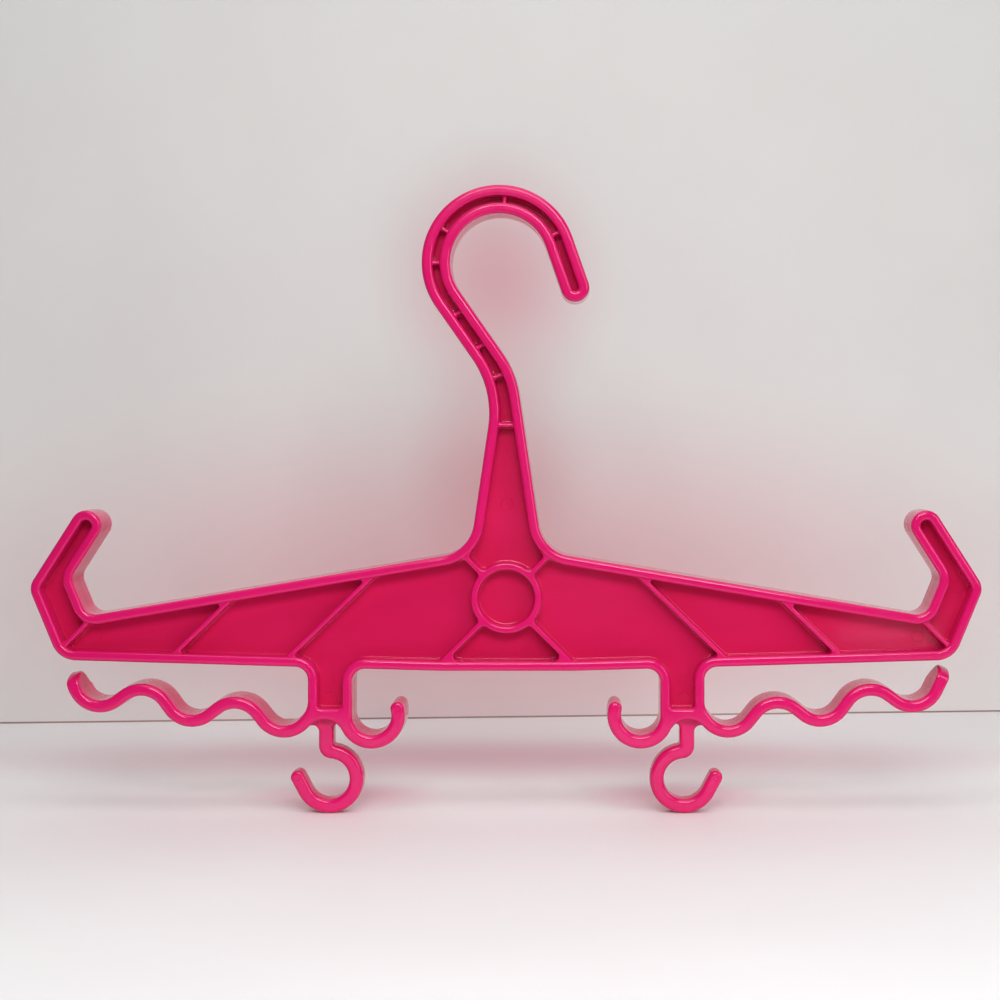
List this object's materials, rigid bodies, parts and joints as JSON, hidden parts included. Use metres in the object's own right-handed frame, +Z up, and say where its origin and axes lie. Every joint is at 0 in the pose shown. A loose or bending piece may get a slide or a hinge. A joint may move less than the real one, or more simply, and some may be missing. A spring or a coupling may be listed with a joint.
{
  "type": "dive gear hanger",
  "caption": "Heavy moulded plastic hanger with a rail crook, sloping strap arms with upturned prongs, wavy hose racks and small accessory hooks below.",
  "frame": {"origin": "where the rail carries the crook: on the crook's inner face, straight above the body's centreline, at mid depth", "axes": "+X across the hanger towards the crook's open side, +Y from the front face to the back face, +Z up as it hangs"},
  "size_m": [0.4794, 0.025, 0.3178],
  "materials": {
    "moulded_plastic": "glossy as-moulded pink"
  },
  "bodies": {
    "root": {"hook_crook": "moulded_plastic", "neck": "moulded_plastic", "centre_panel": "moulded_plastic", "left_arm": "moulded_plastic", "right_arm": "moulded_plastic", "left_prong": "moulded_plastic", "right_prong": "moulded_plastic", "left_leg": "moulded_plastic", "right_leg": "moulded_plastic", "left_hose_rack": "moulded_plastic", "right_hose_rack": "moulded_plastic", "left_j_hook": "moulded_plastic", "right_j_hook": "moulded_plastic", "left_drop_hook": "moulded_plastic", "right_drop_hook": "moulded_plastic", "boss_ring_front": "moulded_plastic", "boss_ring_back": "moulded_plastic", "left_upper_spoke_front": "moulded_plastic", "left_upper_spoke_back": "moulded_plastic", "left_lower_spoke_front": "moulded_plastic", "left_lower_spoke_back": "moulded_plastic", "right_upper_spoke_front": "moulded_plastic", "right_upper_spoke_back": "moulded_plastic", "right_lower_spoke_front": "moulded_plastic", "right_lower_spoke_back": "moulded_plastic", "left_arm_rib_1_front": "moulded_plastic", "left_arm_rib_1_back": "moulded_plastic", "left_arm_rib_2_front": "moulded_plastic", "left_arm_rib_2_back": "moulded_plastic", "left_corner_rib_front": "moulded_plastic", "left_corner_rib_back": "moulded_plastic", "right_arm_rib_1_front": "moulded_plastic", "right_arm_rib_1_back": "moulded_plastic", "right_arm_rib_2_front": "moulded_plastic", "right_arm_rib_2_back": "moulded_plastic", "right_corner_rib_front": "moulded_plastic", "right_corner_rib_back": "moulded_plastic", "neck_rib_front": "moulded_plastic", "neck_rib_back": "moulded_plastic", "crook_rib_1_front": "moulded_plastic", "crook_rib_1_back": "moulded_plastic", "crook_rib_2_front": "moulded_plastic", "crook_rib_2_back": "moulded_plastic", "crook_rib_3_front": "moulded_plastic", "crook_rib_3_back": "moulded_plastic", "crook_rib_4_front": "moulded_plastic", "crook_rib_4_back": "moulded_plastic", "crook_rib_5_front": "moulded_plastic", "crook_rib_5_back": "moulded_plastic", "crook_rib_6_front": "moulded_plastic", "crook_rib_6_back": "moulded_plastic", "crook_rib_7_front": "moulded_plastic", "crook_rib_7_back": "moulded_plastic"}
  },
  "joints": []
}
